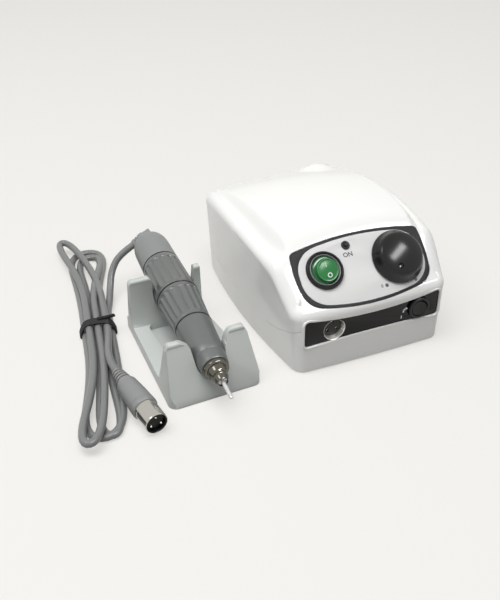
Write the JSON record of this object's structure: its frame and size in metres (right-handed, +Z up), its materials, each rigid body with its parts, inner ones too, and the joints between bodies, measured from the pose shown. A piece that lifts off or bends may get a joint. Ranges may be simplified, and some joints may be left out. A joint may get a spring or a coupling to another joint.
{
  "type": "dental micromotor",
  "caption": "Bench micromotor set: sloped control case with power rocker and speed knob, motor handpiece on a cradle, and its tied cord with a round plug.",
  "frame": {"origin": "on the table, under the middle of the box of the case, cradle and handpiece, without the cord and plug", "axes": "+Z up; the panel and the handpiece's nose face -Y; +X is to the right of someone facing the panel"},
  "size_m": [0.2444, 0.2232, 0.0756],
  "materials": {
    "white_abs": "white glossy moulded ABS",
    "cradle_plastic": "off-white satin moulded plastic",
    "panel_print": "white satin panel sheet",
    "dark_border": "dark grey satin",
    "black_plate": "near black satin",
    "black_nylon": "black moulded nylon",
    "green_clear": "dark green see-through polycarbonate",
    "lamp_clear": "dark red lamp lens",
    "hand_grey": "grey satin handpiece sleeve",
    "black_rubber": "black rubber",
    "grey_rubber": "grey flexible PVC",
    "chrome": "bright chrome plating",
    "steel": "machined steel",
    "core_iron": "varnished iron sheets",
    "copper_coil": "wound copper under tape",
    "board_green": "glass fibre board",
    "alloy": "extruded aluminium",
    "brass": "brass",
    "carbon": "pressed carbon",
    "fuse_glass": "clear fuse glass"
  },
  "bodies": {
    "case": {"lower_case": "white_abs", "upper_case": "white_abs", "case_screws": "steel", "rubber_feet": "black_rubber", "panel_border": "dark_border", "panel_face": "panel_print", "power_switch_body": "black_nylon", "switch_terminals": "brass", "pilot_lamp_bezel": "black_nylon", "pilot_lamp": "lamp_clear", "potentiometer_body": "steel", "potentiometer_nut": "brass", "front_plate": "black_plate", "socket_shell": "chrome", "socket_insert": "black_nylon", "direction_switch_body": "black_nylon", "transformer_core": "core_iron", "transformer_coil": "copper_coil", "transformer_bracket": "steel", "circuit_board": "board_green", "board_screws": "steel", "smoothing_capacitors": "alloy", "heatsink": "alloy", "drive_transistor": "black_nylon", "mains_inlet": "black_nylon", "inlet_pins": "brass", "fuse_holder": "black_nylon", "fuse_link": "fuse_glass"},
    "power_rocker": {"power_rocker": "green_clear"},
    "speed_control": {"speed_knob": "black_nylon", "potentiometer_shaft": "alloy"},
    "direction_lever": {"direction_switch_lever": "black_nylon"},
    "fuse_cap": {"fuse_cap": "black_nylon"},
    "cradle": {"cradle": "cradle_plastic"},
    "handpiece": {"rear_cap": "hand_grey", "cord_boot": "grey_rubber", "motor_housing": "hand_grey", "front_housing": "hand_grey", "seal_rings": "black_rubber", "nose_ring": "chrome", "nose_cone": "chrome", "motor_magnets": "core_iron", "carbon_brushes": "carbon", "rear_bearing": "steel", "front_bearings": "steel", "cord_lead": "grey_rubber", "cord_hank": "grey_rubber", "cord_tail": "grey_rubber", "cord_tie": "black_rubber", "plug_body": "grey_rubber", "plug_shell": "chrome", "plug_insert": "black_nylon", "plug_pins": "brass"},
    "lock_sleeve": {"lock_sleeve": "hand_grey"},
    "spindle": {"spindle": "steel", "rotor_core": "steel", "commutator": "brass", "collet": "steel", "spring_washers": "steel"},
    "bur": {"blank_bur": "steel"}
  },
  "joints": [
    {"name": "power_rock", "type": "hinge", "parent": "case", "child": "power_rocker", "pos_m": [0.01103, -0.04541, 0.05589], "axis": [-1, 0, 0], "range_deg": [0, 20]},
    {"name": "speed_turn", "type": "hinge", "parent": "case", "child": "speed_control", "pos_m": [0.05813, -0.04728, 0.05496], "axis": [0, 0.682, -0.7314], "range_deg": [0, 298]},
    {"name": "direction_rock", "type": "hinge", "parent": "case", "child": "direction_lever", "pos_m": [0.06633, -0.0624, 0.027], "axis": [0, 0, 1], "range_deg": [0, 18]},
    {"name": "fuse_twist", "type": "hinge", "parent": "case", "child": "fuse_cap", "pos_m": [0.04933, 0.0839, 0.032], "axis": [0, -1, 0], "range_deg": [0, 45]},
    {"name": "cradle_lift", "type": "slide", "parent": "case", "child": "cradle", "axis": [0, 0, 1], "range_m": [0, 0.12]},
    {"name": "handpiece_lift", "type": "slide", "parent": "cradle", "child": "handpiece", "axis": [0, 0, 1], "range_m": [0, 0.1]},
    {"name": "lock_twist", "type": "hinge", "parent": "handpiece", "child": "lock_sleeve", "pos_m": [-0.06201, -0.01038, 0.02519], "axis": [-0.0297, -0.9961, -0.083], "range_deg": [0, 45]},
    {"name": "spindle_spin", "type": "hinge", "parent": "handpiece", "child": "spindle", "pos_m": [-0.06255, -0.02831, 0.0237], "axis": [-0.0297, -0.9961, -0.083], "continuous": true},
    {"name": "bur_pull", "type": "slide", "parent": "spindle", "child": "bur", "axis": [-0.0297, -0.9961, -0.083], "range_m": [0, 0.036]}
  ]
}
